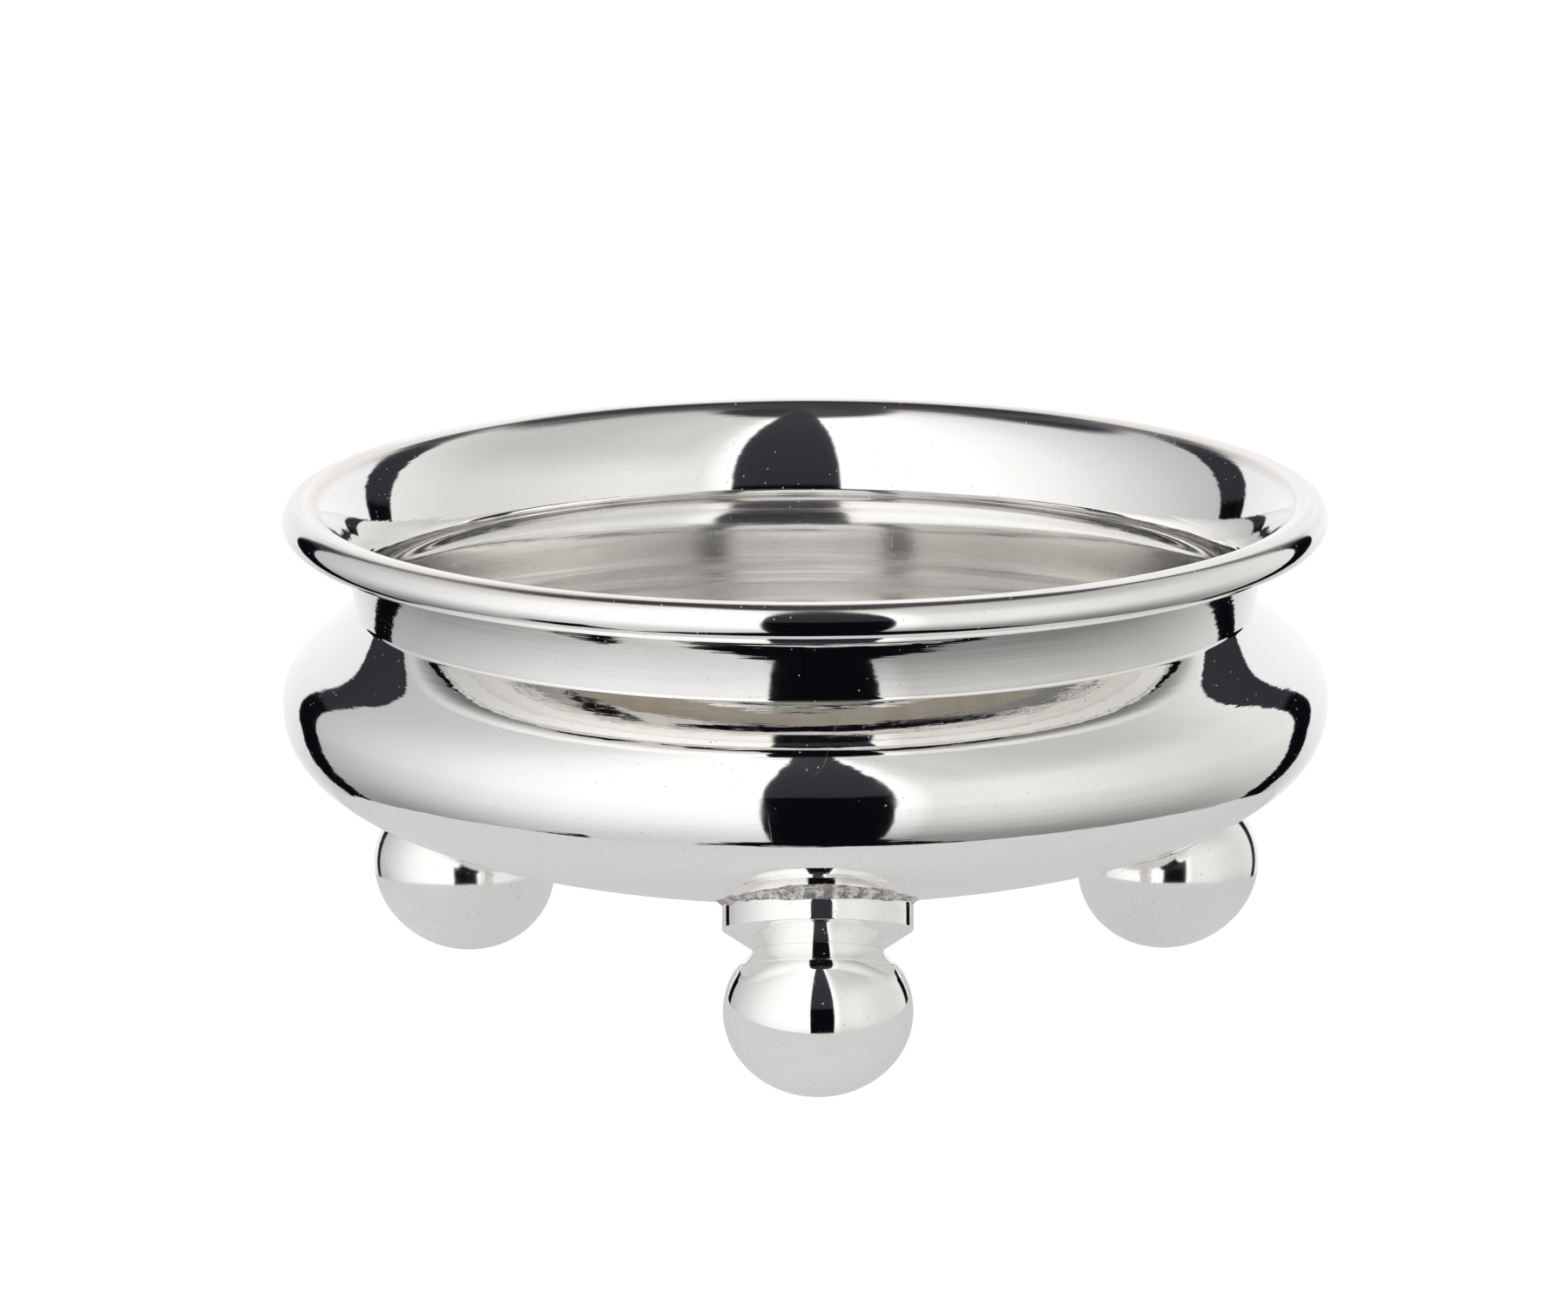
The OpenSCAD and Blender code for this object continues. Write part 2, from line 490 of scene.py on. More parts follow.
@dataclass
class Foot:
    """One foot: a dished cap, a short hollow collar and a ball, with solder between the cap and the belly.

    The foot's own frame has its axis as Z and the ball's middle as its origin. X points away from the bowl's axis.
    """

    bowl: Bowl
    side: Side
    seat_r: float = 28.9
    feet_shift: float = 0.85
    foot_splay: float = 20.3
    seat_sink: float = 0.25
    flange_d: float = 14.3
    flange_h: float = 2.2
    cone_h: float = 1.5
    collar_d: float = 9.7
    collar_h: float = 1.4
    collar_hollow: float = 0.12
    ball_d: float = 14.2
    ball_length: float = 12.76
    ball_top_d: float = 12.3
    edge_r: float = 0.12
    sharp_edge: float = 0.8

    solder_film: float = 0.12
    solder_start: float = 0.03
    solder_least: float = 0.01
    solder_spread: float = 0.42
    solder_curve: float = 1.6
    solder_droop: float = 0.16
    solder_lump: float = 0.34
    solder_wave: float = 0.12
    # How often the lumps, the finer lumps and the droop change in a millimetre, and how much they change the spread,
    # the droop and the swell
    lump_scale: float = 0.9
    fine_scale: float = 2.7
    fine_climb: float = 3.1
    droop_scale: float = 0.7
    uneven_spread: float = 0.5
    uneven_droop: float = 2.2
    lump_share: float = 0.35
    fine_share: float = 0.3

    ball_steps: int = 64
    collar_steps: int = 14
    cap_rings: int = 14
    solder_rings: int = 8
    solder_steps: int = 14
    bevel_steps: int = 3
    turns: int = 160
    solder_turns: int = 300

    def __post_init__(self) -> None:
        """Works out the foot's heights and where it stands."""
        half = self.ball_length / 2
        self.seat_tilt = math.degrees(math.atan(self.bowl.underside_slope(self.seat_r)))
        self.ball_top = half * math.sqrt(1 - (self.ball_top_d / self.ball_d) ** 2)
        self.collar_top = self.ball_top + self.collar_h
        self.cone_top = self.collar_top + self.cone_h
        self.length = self.cone_top + self.flange_h
        seat = Vector((self.seat_r, self.bowl.underside_height(self.seat_r)))
        seat += polar(self.seat_sink, self.seat_tilt + 90)
        foot = seat - polar(self.length, self.foot_splay + 90)
        self.place = (
            Matrix.Translation((self.feet_shift, 0.0, 0.0))
            @ Matrix.Rotation(math.radians(self.side.value), 4, "Z")
            @ Matrix.Translation((foot.x, 0.0, foot.y + self.bowl.stand_height))
            @ Matrix.Rotation(-math.radians(self.foot_splay), 4, "Y")
        )

    def belly_height(self, x: float, y: float, gap: float = 0.0) -> float:
        """How far up the foot's axis the belly lies over a point.

        Args:
            x: The point's place across the foot, outwards from the bowl.
            y: The point's place across the foot, sideways.
            gap: A clearance kept under the belly.

        Returns:
            The height in the foot's own frame.
        """
        height = self.length
        for _ in range(HEIGHT_TRIES):
            spot = self.place @ Vector((x, y, height))
            r = math.hypot(spot.x, spot.y)
            lean = math.cos(math.atan(self.bowl.underside_slope(r)))
            height += (self.bowl.stand_height + self.bowl.underside_height(r) - spot.z) * lean - gap
        return height

    def seat_height(self, x: float) -> float:
        """Height of the seat's plane in the foot's own frame, at a place outwards across the foot."""
        return self.length + x * math.tan(math.radians(self.seat_tilt - self.foot_splay))

    def cap_top(self, x: float, y: float) -> float:
        """Height of the cap's dished top in the foot's own frame."""
        return min(self.seat_height(x), self.belly_height(x, y, self.solder_film))

    def stand(
        self, bm: bmesh.types.BMesh, part: str, node: str, material: bpy.types.Material
    ) -> bpy.types.Object:
        """Keeps a part's own frame as an attribute, and stands the part under the bowl.

        Args:
            bm: The part in the foot's own frame.
            part: The first word of the piece's name.
            node: The first words of its solid's name.
            material: Its finish.

        Returns:
            The object.
        """
        own = bm.verts.layers.float_vector.new(TURNED_FRAME)
        for vert in bm.verts:
            vert[own] = vert.co
        bmesh.ops.transform(bm, matrix=self.place, verts=bm.verts[:])
        for vert in bm.verts:
            vert.co.z = max(vert.co.z, 0.0)
        return finish_piece(bm, f"{part}_{self.side.word}", f"{node}_{self.side.word}", [material])

    def ball(self, material: bpy.types.Material) -> bpy.types.Object:
        """Spins the ball, whose lowest point is filed flat at the table."""
        ball_r, half, steps = self.ball_d / 2, self.ball_length / 2, self.ball_steps
        top = math.degrees(math.asin(self.ball_top / half))
        outline = []
        for i in range(steps + 1):
            a = math.radians(-90 + (90 + top) * i / steps)
            outline.append(Vector((max(ball_r * math.cos(a), 0.0), half * math.sin(a))))
        outline.append(Vector((0.0, self.ball_top)))
        outline = round_corner(outline, steps, self.edge_r / 2)
        return self.stand(spin_outline([outline], self.turns), "ball", "foot_ball", material)

    def collar(self, material: bpy.types.Material) -> bpy.types.Object:
        """Spins the collar between the ball and the cap."""
        top_r, collar_r = self.ball_top_d / 2, self.collar_d / 2
        outline = [Vector((0.0, self.ball_top))]
        for i in range(self.collar_steps + 1):
            t = i / self.collar_steps
            radius = top_r + (collar_r - top_r) * t - self.collar_hollow * math.sin(math.pi * t)
            outline.append(Vector((radius, self.ball_top + self.collar_h * t)))
        outline.append(Vector((0.0, self.collar_top)))
        outline = round_corner(outline, len(outline) - 2, self.edge_r / 3)
        outline = round_corner(outline, 1, self.edge_r / 3)
        return self.stand(spin_outline([outline], self.turns), "collar", "foot_collar", material)

    def cap(self, material: bpy.types.Material) -> bpy.types.Object:
        """Spins the cap, dishes its top along the belly and breaks its upper edge."""
        flange_r, collar_r = self.flange_d / 2, self.collar_d / 2
        margin = 3 * self.edge_r
        brim = flange_r - margin
        outline = [
            Vector((0.0, self.collar_top)),
            Vector((collar_r, self.collar_top)),
            Vector((flange_r, self.cone_top)),
            Vector((flange_r, self.length)),
        ]
        outline = round_corner(outline, 2, self.edge_r)
        outline = round_corner(outline, 1, self.edge_r / 3)
        outline.insert(len(outline) - 1, Vector((flange_r, self.length - margin)))
        for i in range(self.cap_rings + 1):
            outline.append(Vector((brim * (1 - i / self.cap_rings), self.length)))
        bm = spin_outline([outline], self.turns)
        low = self.cone_top + margin
        for vert in bm.verts:
            if vert.co.z > low:
                below = self.length - vert.co.z
                vert.co.z = self.cap_top(vert.co.x, vert.co.y) - below
        rim = [
            edge
            for edge in bm.edges
            if edge.calc_face_angle(0.0) > self.sharp_edge and min(vert.co.z for vert in edge.verts) > low
        ]
        bmesh.ops.bevel(
            bm, geom=rim, offset=self.edge_r, segments=self.bevel_steps, profile=0.5, affect="EDGES", material=-1
        )
        return self.stand(bm, "cap", "foot_cap", material)

    def solder(self, material: bpy.types.Material) -> bpy.types.Object:
        """Spins the solder as a pad from level -1 to 1, then presses it between cap and belly with a lumpy edge."""
        flange_r, rings, steps = self.flange_d / 2, self.solder_rings, self.solder_steps
        brim = flange_r - self.edge_r
        shift = Vector((self.side.value, 0.0, 0.0))
        outline = [Vector((brim * i / rings, -1.0)) for i in range(rings + 1)]
        outline += [Vector((flange_r + 1.0, 2 * i / steps - 1)) for i in range(1, steps)]
        outline += [Vector((flange_r * (1 - i / rings), 1.0)) for i in range(rings + 1)]
        bm = spin_outline([outline], self.solder_turns)
        for vert in bm.verts:
            x, y, level = vert.co
            across = math.hypot(x, y)
            if across < brim + SAME_POINT and level < 0:
                vert.co.z = self.cap_top(x, y) - OVERLAP
                continue
            out = Vector((x, y)) / max(across, SAME_POINT)
            u = (level + 1) / 2
            here = Vector((out.x * flange_r, out.y * flange_r, 0.0))
            lump = noise.noise(here * self.lump_scale + shift)
            fine = noise.noise(here * self.fine_scale + shift + Vector((0.0, 0.0, self.fine_climb * u)))
            spread = self.solder_spread * (1 + self.uneven_spread * lump)
            edge = flange_r + spread
            if level > 1 - SAME_POINT:
                across *= edge / flange_r
                vert.co.x, vert.co.y = out * across
                vert.co.z = self.belly_height(vert.co.x, vert.co.y) + OVERLAP
                continue
            sag = noise.noise(here * self.droop_scale + shift * 2)
            droop = self.solder_droop * (1 + self.uneven_droop * sag)
            foot = self.cap_top(here.x, here.y) - max(droop, 0.0)
            roof = self.belly_height(out.x * edge, out.y * edge) + OVERLAP
            swell = math.sin(math.pi * u)
            lumps = self.solder_lump * swell * (self.lump_share * lump + self.fine_share * fine)
            across = flange_r + self.solder_start + spread * u**self.solder_curve + lumps
            vert.co.x, vert.co.y = out * max(across, flange_r + self.solder_least * swell)
            vert.co.z = foot + (roof - foot) * u + self.solder_wave * fine * swell
        bmesh.ops.recalc_face_normals(bm, faces=bm.faces[:])
        return self.stand(bm, "solder", "solder", material)


class Wiring:
    """Short calls for the nodes of one tree."""

    # Keeps the middle of the rings from being divided by nothing
    LEAST_SQUARE = 1e-4
    # The shares of a speck's radius and of a scratch's width that are covered fully
    SPECK_CORE = 0.6
    SCRATCH_CORE = 0.3
    # How much finer the gaps in a scratch are than its turns, and how soft their ends are
    GAP_SCALE = 3.3
    GAP_EDGE = 0.04

    def __init__(self, tree: bpy.types.NodeTree) -> None:
        """Keeps the tree."""
        self.tree = tree

    def add(self, kind: str, **settings: object) -> bpy.types.Node:
        """A new node of a kind, with its own settings."""
        made = self.tree.nodes.new(kind)
        for key, value in settings.items():
            setattr(made, key, value)
        return made

    def join(self, source: object, socket: bpy.types.NodeSocket) -> None:
        """Feeds a socket from another one, or sets it to a value."""
        if isinstance(source, bpy.types.NodeSocket):
            self.tree.links.new(source, socket)
        else:
            socket.default_value = source

    def maths(self, operation: str, *values: object, clamp: bool = False) -> bpy.types.NodeSocket:
        """The result of one sum on numbers or sockets."""
        made = self.add("ShaderNodeMath", operation=operation, use_clamp=clamp)
        for value, socket in zip(values, made.inputs):
            self.join(value, socket)
        return made.outputs[0]

    def times(self, first: object, second: object, clamp: bool = False) -> bpy.types.NodeSocket:
        """One value times another."""
        return self.maths("MULTIPLY", first, second, clamp=clamp)

    def rest(self, share: object) -> bpy.types.NodeSocket:
        """What a share leaves of the whole."""
        return self.maths("SUBTRACT", 1.0, share)

    def squares(self, x: object, y: object) -> bpy.types.NodeSocket:
        """The sum of two squares."""
        return self.maths("ADD", self.times(x, x), self.times(y, y))

    def step(self, value: object, low: float, high: float) -> bpy.types.NodeSocket:
        """A smooth step from 0 at low to 1 at high, or down where low is above high."""
        made = self.add("ShaderNodeMapRange", interpolation_type="SMOOTHSTEP")
        rising = low < high
        ends = (low, high, 0.0, 1.0) if rising else (high, low, 1.0, 0.0)
        for number, socket in zip((value, *ends), made.inputs):
            self.join(number, socket)
        return made.outputs[0]

    def window(self, value: object, ends: Point, edges: Point) -> bpy.types.NodeSocket:
        """1 between two ends and 0 outside them, where edges are half the widths of the smooth steps."""
        (low, high), (rise, fall) = ends, edges
        return self.times(self.step(value, low - rise, low + rise), self.step(value, high + fall, high - fall))

    def ramp(self, value: object, stops: Sequence[tuple[float, object]]) -> bpy.types.NodeSocket:
        """A colour ramp over stops, each a place and a grey or a colour."""
        made = self.add("ShaderNodeValToRGB")
        ramp = made.color_ramp
        while len(ramp.elements) > 1:
            ramp.elements.remove(ramp.elements[-1])
        for index, (place, shade) in enumerate(stops):
            element = ramp.elements[0] if index == 0 else ramp.elements.new(place)
            element.position = place
            rgb = (shade,) * 3 if isinstance(shade, float) else shade
            element.color = (*rgb, 1.0)
        self.join(value, made.inputs[0])
        return made.outputs[0]

    def mix(self, share: object, first: object, second: object, blend: str = "MIX") -> bpy.types.NodeSocket:
        """Two colours mixed by a share."""
        made = self.add("ShaderNodeMix", data_type="RGBA", blend_type=blend)
        self.join(share, made.inputs[0])
        for colour, socket in zip((first, second), MIX_COLOURS):
            self.join(colour, made.inputs[socket])
        return made.outputs[MIX_RESULT]

    def split(self, vector: object) -> bpy.types.bpy_prop_collection:
        """The three outputs of a vector's parts."""
        parts = self.add("ShaderNodeSeparateXYZ")
        self.join(vector, parts.inputs[0])
        return parts.outputs

    def place(self, attribute: str = "") -> bpy.types.NodeSocket:
        """A point's own place in millimetres, on the object or in a named attribute."""
        if attribute:
            return self.add("ShaderNodeAttribute", attribute_name=attribute).outputs["Vector"]
        made = self.add("ShaderNodeVectorMath", operation="SCALE")
        self.join(self.add("ShaderNodeTexCoord").outputs["Object"], made.inputs[0])
        made.inputs["Scale"].default_value = 1 / MM
        return made.outputs[0]

    def cloud(self, place: object, scale: float, detail: float = 2.0, rough: float = 0.5) -> bpy.types.NodeSocket:
        """Soft random shades that change scale times in a millimetre."""
        made = self.add("ShaderNodeTexNoise")
        self.join(place, made.inputs["Vector"])
        made.inputs["Scale"].default_value = scale
        made.inputs["Detail"].default_value = detail
        made.inputs["Roughness"].default_value = rough
        return made.outputs[0]

    def rings(self, place: object, across: float, around: float, detail: float = 2.0) -> bpy.types.NodeSocket:
        """Random shades drawn out along rings round the Z axis.

        Args:
            place: Where the point is, in millimetres.
            across: How often the shade changes in a millimetre from ring to ring.
            around: How often it changes along a radian of a ring.
            detail: How many finer layers it has.

        Returns:
            The shade, about 0.5 on the average.
        """
        x, y, z = self.split(place)
        radius = self.maths("SQRT", self.maths("ADD", self.squares(x, y), self.LEAST_SQUARE))
        where = self.add("ShaderNodeCombineXYZ")
        self.join(self.times(self.maths("DIVIDE", x, radius), around), where.inputs[0])
        self.join(self.times(self.maths("DIVIDE", y, radius), around), where.inputs[1])
        self.join(self.times(radius, across), where.inputs[2])
        made = self.add("ShaderNodeTexNoise", noise_dimensions="4D")
        self.join(where.outputs[0], made.inputs["Vector"])
        self.join(self.times(z, across), made.inputs["W"])
        made.inputs["Scale"].default_value = 1.0
        made.inputs["Detail"].default_value = detail
        return made.outputs[0]

    def specks(self, place: object, scale: float, size: float, share: float) -> bpy.types.NodeSocket:
        """Small round specks.

        Args:
            place: Where the point is, in millimetres.
            scale: How many places for a speck there are along a millimetre.
            size: The largest radius in millimetres.
            share: How many of the places hold a speck, from 0 to 1.

        Returns:
            1 on a speck and 0 elsewhere.
        """
        made = self.add("ShaderNodeTexVoronoi")
        self.join(place, made.inputs["Vector"])
        made.inputs["Scale"].default_value = scale
        near = self.step(made.outputs["Distance"], size * scale, size * scale * self.SPECK_CORE)
        chance = self.split(made.outputs["Color"])[0]
        return self.times(near, self.maths("LESS_THAN", chance, share))

    def hairlines(self, place: object, scale: float, width: float, share: float) -> bpy.types.NodeSocket:
        """Fine wandering scratches, broken into short lengths.

        Args:
            place: Where the point is, in millimetres.
            scale: How often the scratches turn in a millimetre.
            width: Their width as a share of the shades between two of them.
            share: How much of each line is left out, from 0 to 1.

        Returns:
            1 on a scratch and 0 elsewhere.
        """
        level = self.maths("SUBTRACT", self.cloud(place, scale, 1.0), 0.5)
        line = self.step(self.maths("ABSOLUTE", level), width, width * self.SCRATCH_CORE)
        gaps = self.cloud(place, scale * self.GAP_SCALE, 1.0)
        return self.times(line, self.step(gaps, share - self.GAP_EDGE, share + self.GAP_EDGE))

    def total(self, values: Sequence[object], weights: Sequence[float], clamp: bool = False) -> bpy.types.NodeSocket:
        """The sum of values, each times its weight, kept from 0 to 1 where clamp says so."""
        result = None
        for value, weight in zip(values, weights, strict=True):
            part = self.times(value, weight)
            result = part if result is None else self.maths("ADD", result, part, clamp=clamp)
        return result

    def relief(self, height: object, depth: float) -> bpy.types.NodeSocket:
        """A surface's direction with a relief of a depth in millimetres between the shades 0 and 1."""
        made = self.add("ShaderNodeBump")
        made.inputs["Strength"].default_value = 1.0
        made.inputs["Distance"].default_value = depth * MM
        self.join(height, made.inputs["Height"])
        return made.outputs[0]


@dataclass(frozen=True)
class Metal:
    """What all finishes share: a name, the metal's own colour and the dust on it."""

    name: str
    silver: Colour = (0.96, 0.952, 0.935)
    tarnish: Colour = (0.80, 0.755, 0.68)
    dust: Colour = (0.95, 0.95, 0.93)
    dust_size: float = 0.065
    dust_places: float = 1.6
    dust_share: float = 0.45
    dust_rough: float = 0.9

    def blank(self) -> tuple[bpy.types.Material, Wiring, bpy.types.Node]:
        """A new metallic material, with its wiring and its shader."""
        material = bpy.data.materials.new(self.name)
        material.use_nodes = True
        shader = material.node_tree.nodes["Principled BSDF"]
        shader.inputs["Metallic"].default_value = 1.0
        return material, Wiring(material.node_tree), shader

    def coat(
        self, w: Wiring, shader: bpy.types.Node, place: object, stain: object, rough: object, bloom: object = 0.0
    ) -> None:
        """Joins the colour, the roughness and the dust to the shader.

        Args:
            w: The material's wiring.
            shader: The material's shader.
            place: Where the point is, in millimetres.
            stain: How much tarnish lies there, from 0 to 1.
            rough: How rough the clean metal is there.
            bloom: How much of the metal is etched white there, from 0 to 1.
        """
        dust = w.specks(place, self.dust_places, self.dust_size, self.dust_share)
        metal = w.mix(stain, (*self.silver, 1.0), (*self.tarnish, 1.0))
        w.join(w.mix(dust, metal, (*self.dust, 1.0)), shader.inputs["Base Color"])
        w.join(w.maths("MAXIMUM", rough, w.times(dust, self.dust_rough)), shader.inputs["Roughness"])
        w.join(w.times(w.rest(bloom), w.rest(dust)), shader.inputs["Metallic"])


@dataclass(frozen=True)
class OutsideFinish(Metal):
    """The bowl's polished outside: spinning lines come up under the lip, and the shoulder is polished smoother."""

    name: str = "polished outside"
    polish: float = 0.045
    # Heights over which the lines and the stain under the lip come up
    lip: Point = (33.6, 35.4)
    # Heights of the shoulder, half the widths of its soft edges, and how much of the roughness it has lost
    shoulder: Point = (27.2, 30.85)
    shoulder_edges: Point = (0.6, 0.15)
    shoulder_calm: float = 0.8
    # How often the rings change across and around, and their detail
    fine_rings: Grain = (1.9, 3.4, 3.0)
    broad_rings: Grain = (0.9, 1.3, 2.0)
    scratches: Grain = (0.07, 0.0016, 0.52)
    haze: Point = (0.35, 3.0)
    # Shades between which each pattern comes up
    haze_shades: Point = (0.5, 0.75)
    line_shades: Point = (0.5, 0.72)
    band_shades: Point = (0.48, 0.7)
    # Stain under the lip and in the haze
    stains: Point = (0.6, 0.12)
    # Roughness of the scratches, the haze and the lines
    roughs: Grain = (0.07, 0.03, 0.12)
    # Depth of the relief, how often its dents change, and the weights of rings, rings under the lip and dents
    ripple: float = 0.013
    dents: float = 0.45
    swells: Grain = (1.0, 1.5, 0.5)

    def make(self) -> bpy.types.Material:
        """The material."""
        material, w, shader = self.blank()
        place = w.place()
        height = w.split(place)[2]
        under_lip = w.step(height, *self.lip)
        calm = w.rest(w.times(w.window(height, self.shoulder, self.shoulder_edges), self.shoulder_calm))
        fine = w.rings(place, *self.fine_rings)
        scratch = w.hairlines(place, *self.scratches)
        haze = w.step(w.cloud(place, *self.haze), *self.haze_shades)
        lines = w.times(w.step(fine, *self.line_shades), under_lip)
        bands = w.step(w.rings(place, *self.broad_rings), *self.band_shades)
        stain = w.times(bands, w.total((under_lip, haze), self.stains), clamp=True)
        rough = w.total((calm, scratch, haze, lines), (self.polish, *self.roughs))
        self.coat(w, shader, place, stain, rough)
        swell = w.total((fine, w.times(fine, under_lip), w.cloud(place, self.dents)), self.swells)
        w.join(w.relief(w.times(swell, calm), self.ripple), shader.inputs["Normal"])
        return material


@dataclass(frozen=True)
class InsideFinish(Metal):
    """The bowl's inside: polished in the neck, worn satin with spinning lines in the belly, and a stained lip."""

    name: str = "worn inside"
    polish: float = 0.045
    # Heights over which the satin of the belly starts, radii over which the floor ends, and heights of the corner
    # between the floor and the wall, which keeps less of the satin
    belly: Point = (27.6, 25.2)
    floor: Point = (35.0, 31.0)
    corner: Point = (21.0, 18.0)
    corner_calm: float = 0.75
    # Heights over which the lip's stain starts
    lip: Point = (38.0, 38.7)
    # How often the rings change across and around, and their detail
    fine_rings: Grain = (2.4, 1.8, 3.0)
    broad_rings: Grain = (0.7, 1.4, 2.0)
    blotches: Grain = (0.16, 4.0, 0.6)
    scratches: Grain = (0.08, 0.0016, 0.5)
    # Shades between which each pattern comes up
    blotch_shades: Point = (0.52, 0.72)
    streak_shades: Point = (0.4, 0.68)
    band_shades: Point = (0.46, 0.66)
    # Stain of the belly's streaks, bands and blotches, of the lip's bands, streaks and ground, and of any blotch
    belly_stains: Grain = (0.16, 0.12, 0.08)
    lip_stains: Grain = (0.45, 0.25, 0.25)
    blotch_stain: float = 0.06
    # Roughness of the belly's ground, streaks and bands, of the lip's ground and streaks, and of scratches
    belly_roughs: Grain = (0.03, 0.14, 0.1)
    lip_roughs: Point = (0.1, 0.12)
    scratch_rough: float = 0.07
    # How white the belly's ground, streaks and blotches are etched
    blooms: Grain = (0.06, 0.15, -0.15)
    # Depth of the relief, how often its dents change, and the weights of rings, rings in the belly and dents
    ripple: float = 0.006
    dents: float = 0.5
    swells: Grain = (1.0, 1.5, 0.4)

    def make(self) -> bpy.types.Material:
        """The material."""
        material, w, shader = self.blank()
        place = w.place()
        x, y, height = w.split(place)
        floor = w.step(w.maths("SQRT", w.squares(x, y)), *self.floor)
        corner = w.times(w.step(height, *self.corner), w.rest(floor))
        belly = w.times(w.step(height, *self.belly), w.rest(w.times(corner, self.corner_calm)))
        crest = w.step(height, *self.lip)
        fine = w.rings(place, *self.fine_rings)
        blotch = w.step(w.cloud(place, *self.blotches), *self.blotch_shades)
        scratch = w.hairlines(place, *self.scratches)
        streak = w.step(fine, *self.streak_shades)
        band = w.step(w.rings(place, *self.broad_rings), *self.band_shades)
        worn = w.times(belly, w.total((streak, band, blotch), self.belly_stains))
        lip = w.times(crest, w.total((band, streak, 1.0), self.lip_stains))
        stain = w.maths("ADD", w.times(blotch, self.blotch_stain), w.maths("MAXIMUM", worn, lip), clamp=True)
        satin = w.times(belly, w.total((1.0, streak, band), self.belly_roughs))
        dull = w.times(crest, w.total((1.0, streak), self.lip_roughs))
        rough = w.total((1.0, satin, dull, scratch), (self.polish, 1.0, 1.0, self.scratch_rough))
        bloom = w.times(belly, w.total((1.0, streak, blotch), self.blooms))
        self.coat(w, shader, place, stain, rough, bloom)
        swell = w.total((fine, w.times(fine, belly), w.cloud(place, self.dents)), self.swells)
        w.join(w.relief(swell, self.ripple), shader.inputs["Normal"])
        return material


@dataclass(frozen=True)
class GapFinish(Metal):
    """The groove where the roll closes on the neck, which no polishing wheel reaches."""

    name: str = "unpolished roll"
    pale: Colour = (0.95, 0.88, 0.78)
    dark: Colour = (0.85, 0.76, 0.64)
    rings: Grain = (3.0, 4.0, 3.0)
    patches: Point = (0.5, 3.0)
    # Weights of the rings and the patches, and the shades between which the dark colour comes up
    mixed: Point = (0.5, 0.5)
    shades: Point = (0.38, 0.62)
    # Roughness of the ground and of the rings
    roughs: Point = (0.5, 0.25)
    ripple: float = 0.03

    def make(self) -> bpy.types.Material:
        """The material."""
        material, w, shader = self.blank()
        place = w.place()
        lines = w.rings(place, *self.rings)
        shade = w.step(w.total((lines, w.cloud(place, *self.patches)), self.mixed), *self.shades)
        w.join(w.mix(shade, (*self.pale, 1.0), (*self.dark, 1.0)), shader.inputs["Base Color"])
        shader.inputs["Metallic"].default_value = 0.0
        w.join(w.total((1.0, lines), self.roughs), shader.inputs["Roughness"])
        w.join(w.relief(lines, self.ripple), shader.inputs["Normal"])
        return material


@dataclass(frozen=True)
class TurnedFinish(Metal):
    """The polished turned parts of a foot, whose lines run round the foot's own axis."""

    name: str = "turned foot"
    polish: float = 0.05
    rings: Grain = (2.2, 1.6, 3.0)
    haze: Grain = (0.5, 4.0, 0.6)
    scratches: Grain = (0.1, 0.002, 0.5)
    pits: Grain = (0.9, 0.07, 0.5)
    # Shades between which the haze and the lines come up
    haze_shades: Point = (0.48, 0.74)
    line_shades: Point = (0.5, 0.7)
    # Stain of the haze, the lines and the pits
    stains: Grain = (0.1, 0.08, 0.9)
    # Roughness of the haze, the scratches and the pits
    roughs: Grain = (0.035, 0.07, 0.3)
    # Depth of the relief, how often its dents change, and the weights of rings, dents and pits
    ripple: float = 0.0024
    dents: float = 0.6
    swells: Grain = (1.0, 1.6, -3.0)

    def make(self) -> bpy.types.Material:
        """The material."""
        material, w, shader = self.blank()
        place, own = w.place(), w.place(TURNED_FRAME)
        fine = w.rings(own, *self.rings)
        haze = w.step(w.cloud(own, *self.haze), *self.haze_shades)
        scratch = w.hairlines(own, *self.scratches)
        pit = w.specks(place, *self.pits)
        stain = w.total((haze, w.step(fine, *self.line_shades), pit), self.stains, clamp=True)
        rough = w.total((1.0, haze, scratch, pit), (self.polish, *self.roughs))
        self.coat(w, shader, place, stain, rough)
        swell = w.total((fine, w.cloud(own, self.dents), pit), self.swells)
        w.join(w.relief(swell, self.ripple), shader.inputs["Normal"])
        return material


